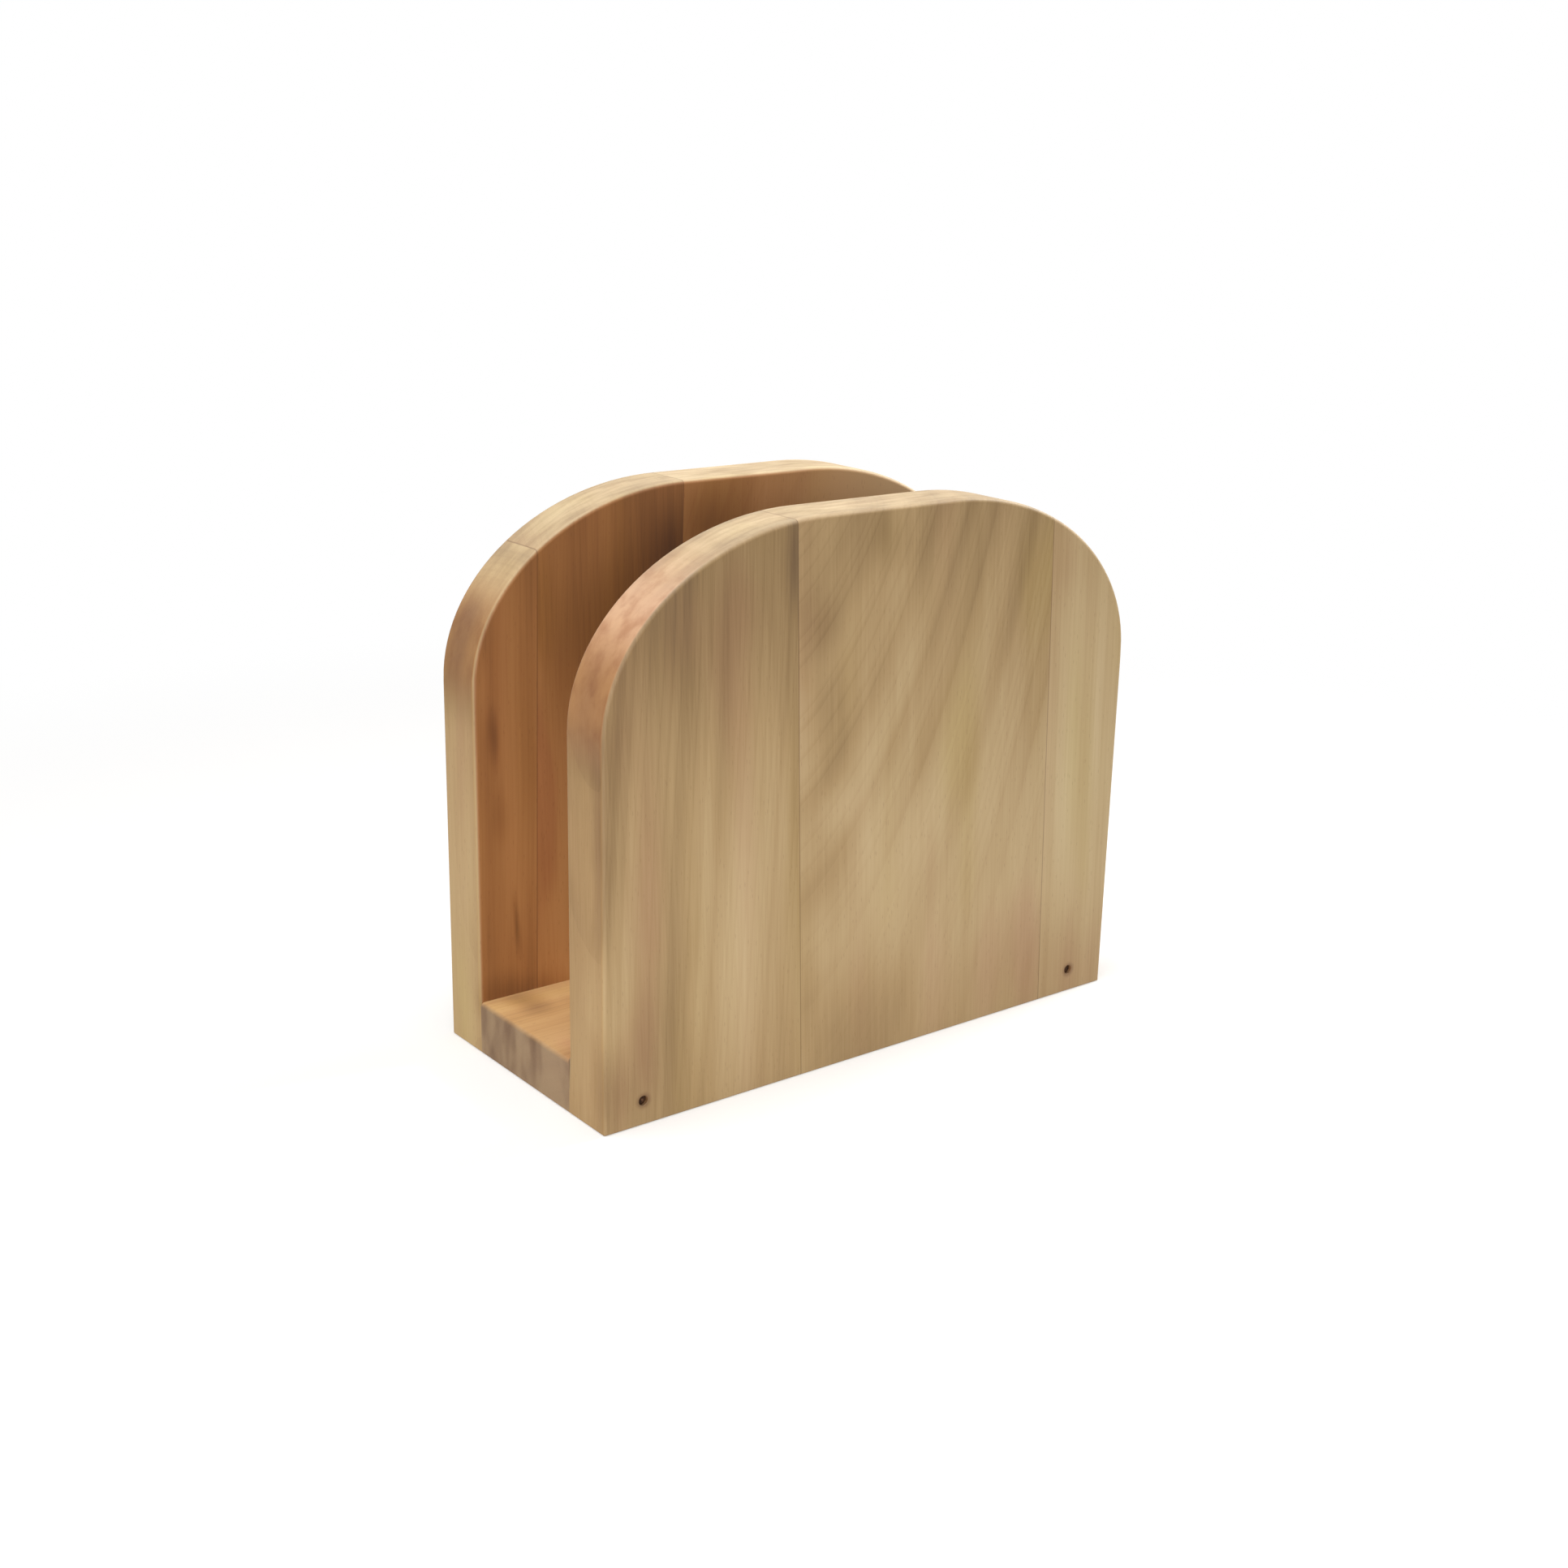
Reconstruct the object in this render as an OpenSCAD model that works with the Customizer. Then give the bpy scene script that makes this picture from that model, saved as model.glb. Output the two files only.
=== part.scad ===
// Napkin holder: two arched boards, each glued up from upright staves, nailed to a base board.
// Millimetres. +Z is up, +X runs along the boards and -Y is the front.
// The origin is the middle of the footprint, on the surface that the holder stands on.
// Left and right are as seen from the front, for both boards.

/* [Boards] */
// Length of both arched boards, from end to end
board_w = 150; // [125:1:220]
// Height of both arched boards
board_h = 128.5; // [105:0.5:180]
// Thickness of both arched boards
board_t = 14; // [13:0.5:20]
// How far each shoulder curve reaches in from the end of its board
shoulder_reach = 57; // [30:1:60]
// How far each shoulder curve drops below the flat top
shoulder_drop = 42; // [25:1:60]
// Straight pieces that each shoulder curve is drawn with
shoulder_steps = 30; // [12:1:48]

/* [Slot and base] */
// Clear width of the slot that the napkins stand in
slot_w = 38; // [36:1:70]
// Thickness of the base board
base_t = 12.5; // [8:0.5:20]

/* [Front staves] */
// Width of the left stave, at half the height
front_left_w = 51; // [30:1:55]
// Width of the right stave, at half the height
front_right_w = 24; // [15:1:50]
// Lean of the front glue lines to the left as they rise, in degrees
front_lean = 2; // [-4:0.5:4]

/* [Back staves] */
// Width of the left stave, at half the height
back_left_w = 16; // [14:1:25]
// Width of the middle stave, at half the height
back_middle_w = 39; // [30:1:60]
// Lean of the back glue lines to the left as they rise, in degrees
back_lean = -1; // [-4:0.5:4]

/* [Nails] */
// Length of a nail, with its head
nail_l = 30; // [20:1:30]
// Diameter of the shank
shank_d = 1.6; // [1:0.1:2]
// Diameter of the head
head_d = 2.2; // [2:0.1:3.5]
// Height of the head
head_h = 1.4; // [1:0.1:2.5]
// Length of the pointed end
point_l = 2.5; // [1:0.1:4]
// Depth of the punch mark in the middle of a head
dimple_depth = 0.3; // [0.1:0.05:0.6]
// Depth that each head is set below the face of its board
set_depth = 0.8; // [0.3:0.1:2]
// Room between a nail and the wood round it
nail_room = 0.05; // [0.02:0.01:0.1]
// From the end of a board to its left nail, seen from outside
left_nail_inset = 10; // [7:0.5:20]
// From the end of a board to its right nail, seen from outside
right_nail_inset = 11.7; // [7:0.5:20]
// Height of the nails, as a share of the thickness of the base
nail_height_share = 0.46; // [0.35:0.01:0.65]

/* [Hidden] */
$fn = 48;

// Extra length of every cut beyond the wood that it opens
overrun = 1;
// Where the strips of the outer staves end, well clear of both ends of a board
past_left = -board_w;
past_right = 2 * board_w;

// Outer face of the front board
front_face_y = -slot_w / 2 - board_t;

// Glue lines, as distances from the left end at half the height
front_seams = [front_left_w, board_w - front_right_w];
back_seams = [back_left_w, back_left_w + back_middle_w];

nail_z = base_t * nail_height_share;
dimple_d = head_d / 2;
front_nail_x = [left_nail_inset - board_w / 2, board_w / 2 - right_nail_inset];
// The holder is turned round to nail its back, so the same insets swap ends there
back_nail_x = [-front_nail_x[1], -front_nail_x[0]];

// Outline of an arched board, seen from the front: square feet, flat top and a quarter of an
// ellipse at each shoulder
function shoulder(side, turn) = [
    side * (board_w / 2 - shoulder_reach * (1 - cos(turn))),
    board_h - shoulder_drop * (1 - sin(turn))
];

arch = concat(
    [[-board_w / 2, 0], [board_w / 2, 0]],
    [for (i = [0 : shoulder_steps]) shoulder(1, 90 * i / shoulder_steps)],
    [for (i = [shoulder_steps : -1 : 0]) shoulder(-1, 90 * i / shoulder_steps)]
);

// Outline of the strip of board between two glue lines, which lean about half the height
module strip(from_left, to_left, lean) {
    shift = tan(lean) * (board_h / 2 + overrun);
    low = -overrun;
    high = board_h + overrun;
    from_x = from_left - board_w / 2;
    to_x = to_left - board_w / 2;
    polygon([
        [from_x + shift, low],
        [to_x + shift, low],
        [to_x - shift, high],
        [from_x - shift, high]
    ]);
}

// One stave: the part of the arched board that lies in its strip. The inner face is at y = 0
// and the outer face at y = -board_t.
module stave(from_left, to_left, lean) {
    rotate([90, 0, 0])
        linear_extrude(board_t)
            intersection() {
                polygon(arch);
                strip(from_left, to_left, lean);
            }
}

// Profile of a nail, from the axis out, with the top of the head at zero and the point downwards
nail_profile = [
    [0, -dimple_depth],
    [dimple_d / 2, 0],
    [head_d / 2, 0],
    [head_d / 2, -head_h / 2],
    [shank_d / 2, -head_h],
    [shank_d / 2, point_l - nail_l],
    [0, -nail_l]
];

module nail() {
    rotate_extrude() polygon(nail_profile);
}

// Room for one nail: the punched hole over its head, the pocket of the head and the shank's bore.
// It opens at zero and runs down.
module nail_hole() {
    pocket_d = head_d + 2 * nail_room;
    pocket_depth = set_depth + head_h + nail_room;
    bore_depth = set_depth + nail_l + nail_room;
    translate([0, 0, -pocket_depth]) cylinder(d = pocket_d, h = pocket_depth + overrun);
    translate([0, 0, -bore_depth]) cylinder(d = shank_d + 2 * nail_room, h = bore_depth);
}

// Places its children at one nail of the front, with their top on the outer face
module at_front_nail(x) {
    translate([x, front_face_y, nail_z]) rotate([90, 0, 0]) children();
}

module at_back_nail(x) {
    mirror([0, 1, 0]) at_front_nail(x) children();
}

module all_nail_holes() {
    for (x = front_nail_x) at_front_nail(x) nail_hole();
    for (x = back_nail_x) at_back_nail(x) nail_hole();
}

module front_stave(from_left, to_left) {
    difference() {
        translate([0, -slot_w / 2, 0]) stave(from_left, to_left, front_lean);
        all_nail_holes();
    }
}

module back_stave(from_left, to_left) {
    difference() {
        translate([0, slot_w / 2 + board_t, 0]) stave(from_left, to_left, back_lean);
        all_nail_holes();
    }
}

module front_left_stave() {
    color("#b3986f") front_stave(past_left, front_seams[0]);
}

module front_middle_stave() {
    color("#af9168") front_stave(front_seams[0], front_seams[1]);
}

module front_right_stave() {
    color("#bda87d") front_stave(front_seams[1], past_right);
}

module back_left_stave() {
    color("#bea67d") back_stave(past_left, back_seams[0]);
}

module back_middle_stave() {
    color("#b78a5c") back_stave(back_seams[0], back_seams[1]);
}

module back_right_stave() {
    color("#a9784b") back_stave(back_seams[1], past_right);
}

module base_board() {
    color("#cd9e69")
        difference() {
            translate([-board_w / 2, -slot_w / 2, 0]) cube([board_w, slot_w, base_t]);
            all_nail_holes();
        }
}

module front_nail(x) {
    color("#4c4038") at_front_nail(x) translate([0, 0, -set_depth]) nail();
}

module back_nail(x) {
    color("#4c4038") at_back_nail(x) translate([0, 0, -set_depth]) nail();
}

front_left_stave();
front_middle_stave();
front_right_stave();
back_left_stave();
back_middle_stave();
back_right_stave();
base_board();
front_nail(front_nail_x[0]);  // nail_front_left
front_nail(front_nail_x[1]);  // nail_front_right
back_nail(back_nail_x[0]);  // nail_back_left
back_nail(back_nail_x[1]);  // nail_back_right
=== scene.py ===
# %% [markdown]
# # A napkin holder in streaked pale hardwood
# Two arched boards stand on edge with a low base board between their feet. Each arched board is
# glued up from three upright staves, and two set nails a side hold it to the base. The packed
# model gives every piece its place and size. This script gives each piece its sanded edges and
# its wood, then a pale studio to stand in.

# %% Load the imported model
import math

import bmesh
import bpy
from mathutils import Matrix, Vector


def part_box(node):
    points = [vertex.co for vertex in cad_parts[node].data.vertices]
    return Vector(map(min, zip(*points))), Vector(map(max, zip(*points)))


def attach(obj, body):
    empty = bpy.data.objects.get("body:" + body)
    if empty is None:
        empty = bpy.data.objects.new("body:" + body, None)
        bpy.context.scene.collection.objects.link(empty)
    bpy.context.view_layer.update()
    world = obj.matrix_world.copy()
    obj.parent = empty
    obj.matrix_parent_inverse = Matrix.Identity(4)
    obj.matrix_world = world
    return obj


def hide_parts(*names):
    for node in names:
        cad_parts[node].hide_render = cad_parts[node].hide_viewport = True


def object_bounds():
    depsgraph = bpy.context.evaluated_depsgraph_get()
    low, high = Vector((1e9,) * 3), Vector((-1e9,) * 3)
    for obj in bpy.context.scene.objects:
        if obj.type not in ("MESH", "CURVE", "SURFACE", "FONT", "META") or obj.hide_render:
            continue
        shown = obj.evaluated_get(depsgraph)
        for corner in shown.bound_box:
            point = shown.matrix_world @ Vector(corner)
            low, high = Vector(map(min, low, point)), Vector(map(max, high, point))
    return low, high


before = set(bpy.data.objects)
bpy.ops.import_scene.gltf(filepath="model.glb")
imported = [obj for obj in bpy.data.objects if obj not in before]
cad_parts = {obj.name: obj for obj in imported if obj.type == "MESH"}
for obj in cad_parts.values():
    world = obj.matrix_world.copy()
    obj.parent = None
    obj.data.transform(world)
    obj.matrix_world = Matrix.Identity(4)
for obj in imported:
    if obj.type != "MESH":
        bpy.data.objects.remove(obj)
cad_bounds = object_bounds()
MM = 0.001
low, high = cad_bounds
print("packed model, mm:", [round(side / MM, 1) for side in high - low])

# %% [markdown]
# ## Where the camera stands
# A photograph fixes the camera as much as the object does. The turn, height and tilt below came
# from matching the edges of both arches to the picture, and the lens from how fast the two boards
# shrink with distance. The camera is built from its own three directions, so that nothing has to
# track anything. It keeps no shift and no depth of field.

# %% Camera
PICTURE_PX = 1932
FOCAL_PX = 2560.0
SENSOR_MM = 36.0
NEAREST = 10 * MM
VIEW_TURN = math.radians(-38.016)
VIEW_RISE = math.radians(17.461)
VIEW_ROLL = math.radians(1.234)
VIEW_DISTANCE = 492.75 * MM
VIEW_TARGET = Vector((-2.69, 0.0, 57.6)) * MM

back = Vector((
    math.sin(VIEW_TURN) * math.cos(VIEW_RISE),
    -math.cos(VIEW_TURN) * math.cos(VIEW_RISE),
    math.sin(VIEW_RISE),
))
level_right = Vector((0, 0, 1)).cross(back).normalized()
level_up = back.cross(level_right)
right = level_right * math.cos(VIEW_ROLL) + level_up * math.sin(VIEW_ROLL)
up = level_up * math.cos(VIEW_ROLL) - level_right * math.sin(VIEW_ROLL)

lens = bpy.data.cameras.new("camera")
lens.sensor_width = SENSOR_MM
lens.lens = SENSOR_MM * FOCAL_PX / PICTURE_PX
lens.clip_start = NEAREST
camera = bpy.data.objects.new("camera", lens)
bpy.context.scene.collection.objects.link(camera)
camera.matrix_world = (
    Matrix.Translation(VIEW_TARGET + back * VIEW_DISTANCE)
    @ Matrix((right, up, back)).transposed().to_4x4()
)
bpy.context.scene.camera = camera
print("lens, mm:", round(lens.lens, 1))

# %% [markdown]
# ## How much each edge is sanded
# On the bench each board is sanded until its arrises no longer feel sharp. A bevel on the whole
# mesh would round the glue lines too, and those stay tight and flush. So each edge gets a share of
# one width: all of it on an arris, less underneath where the paper barely reaches, a hair round
# the nail holes and nothing along the glue, so that an arris runs on from stave to stave. Beside
# the base the inner arrises stay square, as they do when the sander comes round after gluing.

# %% Shares of the sanded width
ARRIS = 1.0 * MM
SHARES = {"arris": 1.0, "underside": 0.4, "hole": 0.12}
HOLE_REACH = 2.0 * MM
FLUSH = 0.05 * MM
NAILS = [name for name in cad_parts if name.startswith("nail_")]
nail_spots = [sum(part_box(name), Vector()) / 2 for name in NAILS]
board_end = high.x
slot_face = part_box("base_board")[1].y + FLUSH
glued_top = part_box("base_board")[1].z + ARRIS
print("nails:", len(NAILS), "arrises stay square up to, mm:", round(glued_top / MM, 1))

# %% Tell the edges apart
# How much of a unit vector lies along an axis: for a face square on to it, for a face edge on to
# it, and for an edge that runs its way
SQUARE_ON = 0.99
EDGE_ON = 0.01
RUNS_ALONG = 0.9


def at_nail(vertex):
    """True round the hole of a nail and inside it."""
    return any(math.hypot(vertex.co.x - spot.x, vertex.co.z - spot.z) < HOLE_REACH
               for spot in nail_spots)


def is_seam(face):
    """True for a face that is glued to the next stave."""
    inside = abs(face.calc_center_median().x) < board_end - ARRIS
    upright = abs(face.normal.x) > SQUARE_ON and abs(face.normal.y) < EDGE_ON
    return inside and upright and not any(at_nail(vertex) for vertex in face.verts)


def beside_base(vertex):
    """True on the inner face of a board, where the base is glued to it."""
    return abs(vertex.co.y) < slot_face and vertex.co.z < glued_top + FLUSH


def stave_edge(edge):
    """What kind of edge a stave has here, or None where it stays as it is."""
    if all(beside_base(v) for v in edge.verts):
        return None
    if all(at_nail(v) for v in edge.verts):
        on_face = any(abs(face.normal.y) > SQUARE_ON for face in edge.link_faces)
        outside = all(abs(v.co.y) > high.y - FLUSH for v in edge.verts)
        return "hole" if on_face and outside else None
    if any(is_seam(face) for face in edge.link_faces):
        return None
    if all(v.co.z < FLUSH for v in edge.verts):
        return "underside"
    return "arris"


def base_edge(edge):
    """The base is glued along both sides, and only its ends are free."""
    run = (edge.verts[0].co - edge.verts[1].co).normalized()
    if abs(run.y) < RUNS_ALONG or all(at_nail(v) for v in edge.verts):
        return None
    return "underside" if edge.verts[0].co.z < FLUSH else "arris"


# %% [markdown]
# ## Sanding a board
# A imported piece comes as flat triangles. Its copy is merged into whole faces first, so that a
# bevel meets real edges only. A chord of the arch that ends just beside a glue line is shorter
# than the bevel is wide, and is welded to that line. The bevel is then made part of the mesh, and
# every turn steeper than one of its steps is marked sharp, so that flat faces shade flat.

# %% Whole faces
SHARP_TURN = math.radians(30)
SAME_PLANE = math.radians(0.2)
MERGE = 0.002 * MM


def whole_faces(mesh):
    """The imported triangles, merged into whole flat faces."""
    shape = bmesh.new()
    shape.from_mesh(mesh)
    bmesh.ops.remove_doubles(shape, verts=shape.verts, dist=MERGE)
    bmesh.ops.dissolve_limit(shape, angle_limit=SAME_PLANE, verts=shape.verts, edges=shape.edges)
    shape.normal_update()
    return shape


def weld_short_chords(shape):
    """Weld a chord that is shorter than the sanded width to the glue line that it ends on."""
    on_seam = {v for face in shape.faces if is_seam(face) for v in face.verts}
    welds = {}
    for edge in shape.edges:
        first, second = edge.verts
        crosses = (first in on_seam) != (second in on_seam)
        if crosses and edge.calc_length() < ARRIS and not (at_nail(first) or at_nail(second)):
            loose, kept = (second, first) if first in on_seam else (first, second)
            welds[loose] = kept
    bmesh.ops.weld_verts(shape, targetmap=welds)
    return len(welds)


def split_at_base(shape):
    """Split the inner arris of each end, which the sander could only reach above the base."""
    for edge in list(shape.edges):
        foot, head = sorted(edge.verts, key=lambda v: v.co.z)
        on_end = all(abs(v.co.x) > board_end - FLUSH and abs(v.co.y) < slot_face
                     for v in edge.verts)
        if on_end and foot.co.z < FLUSH and head.co.z > glued_top:
            bmesh.utils.edge_split(edge, foot, (glued_top - foot.co.z) / (head.co.z - foot.co.z))


# %% Sand one piece
BEVEL_STEPS = 4


def weigh_edges(shape, kind_of_edge):
    """Give each sharp edge its share of the sanded width."""
    share = shape.edges.layers.float.new("bevel_weight_edge")
    for edge in shape.edges:
        sharp = len(edge.link_faces) == 2 and edge.calc_face_angle() > SHARP_TURN
        kind = kind_of_edge(edge) if sharp else None
        edge[share] = SHARES.get(kind, 0.0)
    for face in shape.faces:
        face.smooth = True


def bevel_by_share(piece):
    """Make the sanded edges part of the mesh, then mark what is still sharp."""
    sanded = piece.modifiers.new("sanded edges", "BEVEL")
    sanded.width = ARRIS
    sanded.segments = BEVEL_STEPS
    sanded.limit_method = "WEIGHT"
    sanded.use_clamp_overlap = False
    seen = piece.evaluated_get(bpy.context.evaluated_depsgraph_get())
    piece.data = bpy.data.meshes.new_from_object(seen)
    piece.data.set_sharp_from_angle(angle=SHARP_TURN)
    piece.modifiers.clear()
    flat = piece.modifiers.new("flat faces stay flat", "WEIGHTED_NORMAL")
    flat.keep_sharp = True


def sanded_piece(node_name, kind_of_edge):
    """A copy of a packed board with whole faces and eased edges."""
    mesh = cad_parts[node_name].data.copy()
    mesh.materials.clear()
    if "custom_normal" in mesh.attributes:
        mesh.attributes.remove(mesh.attributes["custom_normal"])
    shape = whole_faces(mesh)
    welded = weld_short_chords(shape)
    if kind_of_edge is stave_edge:
        split_at_base(shape)
    weigh_edges(shape, kind_of_edge)
    shape.to_mesh(mesh)
    shape.free()
    piece = bpy.data.objects.new("sanded_" + node_name, mesh)
    bpy.context.scene.collection.objects.link(piece)
    bevel_by_share(piece)
    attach(piece, "root")
    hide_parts(node_name)
    print(node_name, "faces:", len(piece.data.polygons), "corners welded:", welded)
    return piece


# %% Sand them all
STAVES = [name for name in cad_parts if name.endswith("_stave")]
boards = {name: sanded_piece(name, stave_edge) for name in STAVES}
boards["base_board"] = sanded_piece("base_board", base_edge)

# %% [markdown]
# ## Nodes and colours
# Every material below is a small network of nodes. One function adds a node with its settings and
# its links, and one turns the hex colours of a paint chart into the linear values that the
# renderer mixes. Settings that come back have names. A map range node takes a value, the two ends
# of the range that it comes from and, where that isn't zero to one, the two that it goes to.

# %% Small helpers
SMOOTH = {"interpolation_type": "SMOOTHSTEP"}
SUM = {"operation": "ADD"}
DIFFERENCE = {"operation": "SUBTRACT"}
PRODUCT = {"operation": "MULTIPLY"}
PRODUCT_AND_SUM = {"operation": "MULTIPLY_ADD"}
DOT = {"operation": "DOT_PRODUCT"}
LENGTH = {"operation": "LENGTH"}
POWER = {"operation": "POWER"}
WITHOUT_SIGN = {"operation": "ABSOLUTE"}
IN_CELLS = {"vector_type": "TEXTURE"}
# A glaze multiplies the colour under it, and a paint hides it
GLAZE = {"data_type": "RGBA", "blend_type": "MULTIPLY"}
PAINT = {"data_type": "RGBA", "blend_type": "MIX"}
# Sockets of a colour mix: how much, the colour under, the colour over, and the result
SHARE, UNDER, OVER, MIXED = 0, 6, 7, 2
# What a noise gives on average, and the grey that leaves a tone alone
MIDDLE = 0.5


def hex_colour(code):
    """A linear colour from a hex value, by the sRGB curve."""
    parts = [int(code[i:i + 2], 16) / 255 for i in (1, 3, 5)]
    linear = [p / 12.92 if p <= 0.04045 else ((p + 0.055) / 1.055) ** 2.4 for p in parts]
    return (*linear, 1.0)


def add(tree, kind, inputs=(), **settings):
    """One node with its settings. Its inputs go to its sockets in order, or to those that a dict
    names, and each is a value, a socket, or a node that stands for its first output."""
    made = tree.nodes.new("ShaderNode" + kind)
    for name, value in settings.items():
        setattr(made, name, value)
    pairs = inputs.items() if isinstance(inputs, dict) else enumerate(inputs)
    for socket, value in pairs:
        if isinstance(value, bpy.types.Node):
            value = value.outputs[0]
        if isinstance(value, bpy.types.NodeSocket):
            tree.links.new(value, made.inputs[socket])
        else:
            made.inputs[socket].default_value = value
    return made


def empty_material(name):
    """A material with nothing in its network yet."""
    material = bpy.data.materials.new(name)
    material.use_nodes = True
    material.node_tree.nodes.clear()
    return material


print("middle grey of a paint chart, in linear light:", round(hex_colour("#808080")[0], 3))

# %% [markdown]
# ## Wood that runs through the board
# The wood is a pale streaked hardwood like camphor laurel, planed, glued up and sanded to about
# 180 grit, with no more than a wipe of oil. A flat picture wrapped round a board would give it
# the wrong ends, so the pattern here is solid. Every point asks how far it lies from the heart of
# its tree. That distance gives the growth rings, straight where the saw ran well beside the heart
# and in nested arcs where it cut across it, and it gives the end grain on the arches as well.

# %% Distance from the heart of the tree
def ring_distance(tree, place, wander, log):
    """Distance in mm from a heart that leans, bows and wanders a little."""
    along, across, deep = (Vector(axis) for axis in log["axes"])
    heart = Vector(log["heart"])
    wandered = add(tree, "VectorMath", (place, wander), **SUM)
    legs = []
    for axis, slope in ((across, log["slopes"][0]), (deep, log["slopes"][1])):
        lean = axis - along * slope
        reach = add(tree, "VectorMath", (wandered, lean), **DOT).outputs["Value"]
        legs.append(add(tree, "Math", (reach, lean.dot(heart)), **DIFFERENCE))
    rise = add(tree, "VectorMath", (wandered, along), **DOT).outputs["Value"]
    square = add(tree, "Math", (rise, 2.0), **POWER)
    bowed = add(tree, "Math", (square, log.get("bow", 0.0), legs[1]), **PRODUCT_AND_SUM)
    flat = add(tree, "CombineXYZ", (legs[0], bowed))
    return add(tree, "VectorMath", (flat,), **LENGTH).outputs["Value"]


# %% [markdown]
# ## Broad streaks
# Minerals and old wounds leave bands of darker wood that follow the rings, with paler ones between
# them. They are few and each is different, so every log lists them: going outwards, the ring in mm
# and how dark the wood is there, from one for the darkest streak to minus one for the palest. A
# colour ramp eases from each of these to the next.

# %% Streaks along the rings
def ring_streaks(tree, distance, streaks):
    """Zero for plain wood, above for a dark streak and below for a pale one."""
    inner, outer = streaks[0][0], streaks[-1][0]
    spread = add(tree, "MapRange", (distance, inner, outer))
    ramp = add(tree, "ValToRGB", (spread,))
    ramp.color_ramp.interpolation = "EASE"
    stops = ramp.color_ramp.elements
    for _ in streaks[2:]:
        stops.new(MIDDLE)
    for stop, (ring, level) in zip(stops, streaks):
        stop.position = (ring - inner) / (outer - inner)
        grey = MIDDLE * (1 + level)
        stop.color = (grey, grey, grey, 1)
    return add(tree, "Math", (ramp, MIDDLE), **DIFFERENCE)


# %% [markdown]
# ## The cells of the grain
# Wood is never even, and its unevenness is long and thin. Noise gives that when it is stretched
# along the grain. Each row below is the width, depth and length of its cells in mm, a step that
# keeps it from running like another row, and how many finer layers it has. The stretch turns with
# the stave, because the glue lines lean and the fibres run with them.

# %% Noise, by its cells in mm
GRAIN = {
    "heart": ((40.0, 40.0, 90.0), 0.0, 1.0),
    "fibres": ((0.45, 0.45, 20.0), 1.0, 3.0),
    "patches": ((20.0, 20.0, 55.0), 2.0, 1.0),
    "hue": ((12.0, 12.0, 120.0), 3.0, 1.0),
    "streaks": ((4.5, 4.5, 90.0), 4.0, 3.0),
    "upright rays": ((9.0, 1.6, 30.0), 5.0, 2.0),
    "lying rays": ((16.0, 6.5, 30.0), 5.0, 2.0),
    "wander": ((20.0, 20.0, 55.0), 6.0, 2.0),
    "mottle": ((4.5, 4.5, 8.0), 7.0, 3.0),
}
# Real fibres are about 0.02 mm wide and real pores about 0.1 mm. Both are too fine to show from
# here, so the fibres above and the pores are drawn as coarse as they need to be.
PORE_MM = (0.7, 0.7, 4.0)
PORE_RIM = (0.20, 0.07)
PORE_SHARE = 0.25


def grain_noise(tree, place, log, kind, output="Fac"):
    """One of the noises above, as it runs through this log."""
    size, step, detail = GRAIN[kind]
    cells = add(tree, "Mapping", {0: place, "Rotation": (0, log["turn"], 0), "Scale": size},
                **IN_CELLS)
    return add(tree, "TexNoise", {"Vector": cells, "W": log["seed"] + step, "Scale": 1.0,
                                  "Detail": detail}, noise_dimensions="4D").outputs[output]


def centred_noise(tree, place, log, kind):
    """Three channels of such a noise, each around zero, to shift a point by."""
    swirl = grain_noise(tree, place, log, kind, "Color")
    return add(tree, "VectorMath", (swirl, (MIDDLE, MIDDLE, MIDDLE)), **DIFFERENCE)


def open_pores(tree, place, log):
    """How much of a pore lies at a point."""
    cells = add(tree, "Mapping", {0: place, "Rotation": (0, log["turn"], 0), "Scale": PORE_MM},
                **IN_CELLS)
    nearest = add(tree, "TexVoronoi", {"Vector": cells, "Scale": 1.0})
    return add(tree, "MapRange", (nearest, *PORE_RIM, 0.0, PORE_SHARE), **SMOOTH)


print("noises:", len(GRAIN), "widest cells, mm:", max(size[0] for size, _, _ in GRAIN.values()))

# %% [markdown]
# ## Years of growth
# A tree adds a ring a year, pale in spring and darkening to the dense late wood that ends it. One
# slow noise stands for the weather. It makes some years darker than others, and it drifts the
# rings, so that no two are equally wide. The place within a year is the fraction of a division.

# %% Rings
RING_MM = 2.4
WEATHER_A_YEAR = 0.37
WEATHER_LAYERS = 2.0
RING_DRIFT = 3.0
# Parts of a year between which its late wood comes in
LATE_WOOD = (0.5, 0.97)
LATE_TONE = 0.05
WEATHER_TONE = 0.18
# Brings the sum of the two tones back round zero
YEARS_MIDDLE = -0.105


def years_of_growth(tree, distance):
    """Tone of darker and paler years, and of the line of late wood that ends each one."""
    year = add(tree, "Math", (distance, RING_MM), operation="DIVIDE")
    weather = add(tree, "TexNoise", {"W": year, "Scale": WEATHER_A_YEAR,
                                     "Detail": WEATHER_LAYERS}, noise_dimensions="1D")
    uneven = add(tree, "Math", (weather, RING_DRIFT, year), **PRODUCT_AND_SUM)
    part = add(tree, "Math", (uneven,), operation="FRACT")
    late = add(tree, "MapRange", (part, *LATE_WOOD), **SMOOTH)
    late = add(tree, "Math", (late, LATE_TONE, YEARS_MIDDLE), **PRODUCT_AND_SUM)
    return add(tree, "Math", (weather, WEATHER_TONE, late), **PRODUCT_AND_SUM)


print("rings across the width of the holder:", round((high.x - low.x) / MM / RING_MM))

# %% [markdown]
# ## Soft patches, painted shade and painted light
# Some of what makes a board itself is in one place only, such as a darker foot or a pale corner.
# Other patches are painted shade and painted light: darker ones where the slot lies in shade, paler
# ones where light comes into it, and some on the tops that set how bright each top looks. Each log
# lists its own: where the patch is and how far it reaches in mm, how much darker it is and how much
# redder. Their outlines wander with a noise, so that none shows as an ellipse.

# %% Patches
PATCH_WANDER_MM = (14.0, 0.0, 14.0)


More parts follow.
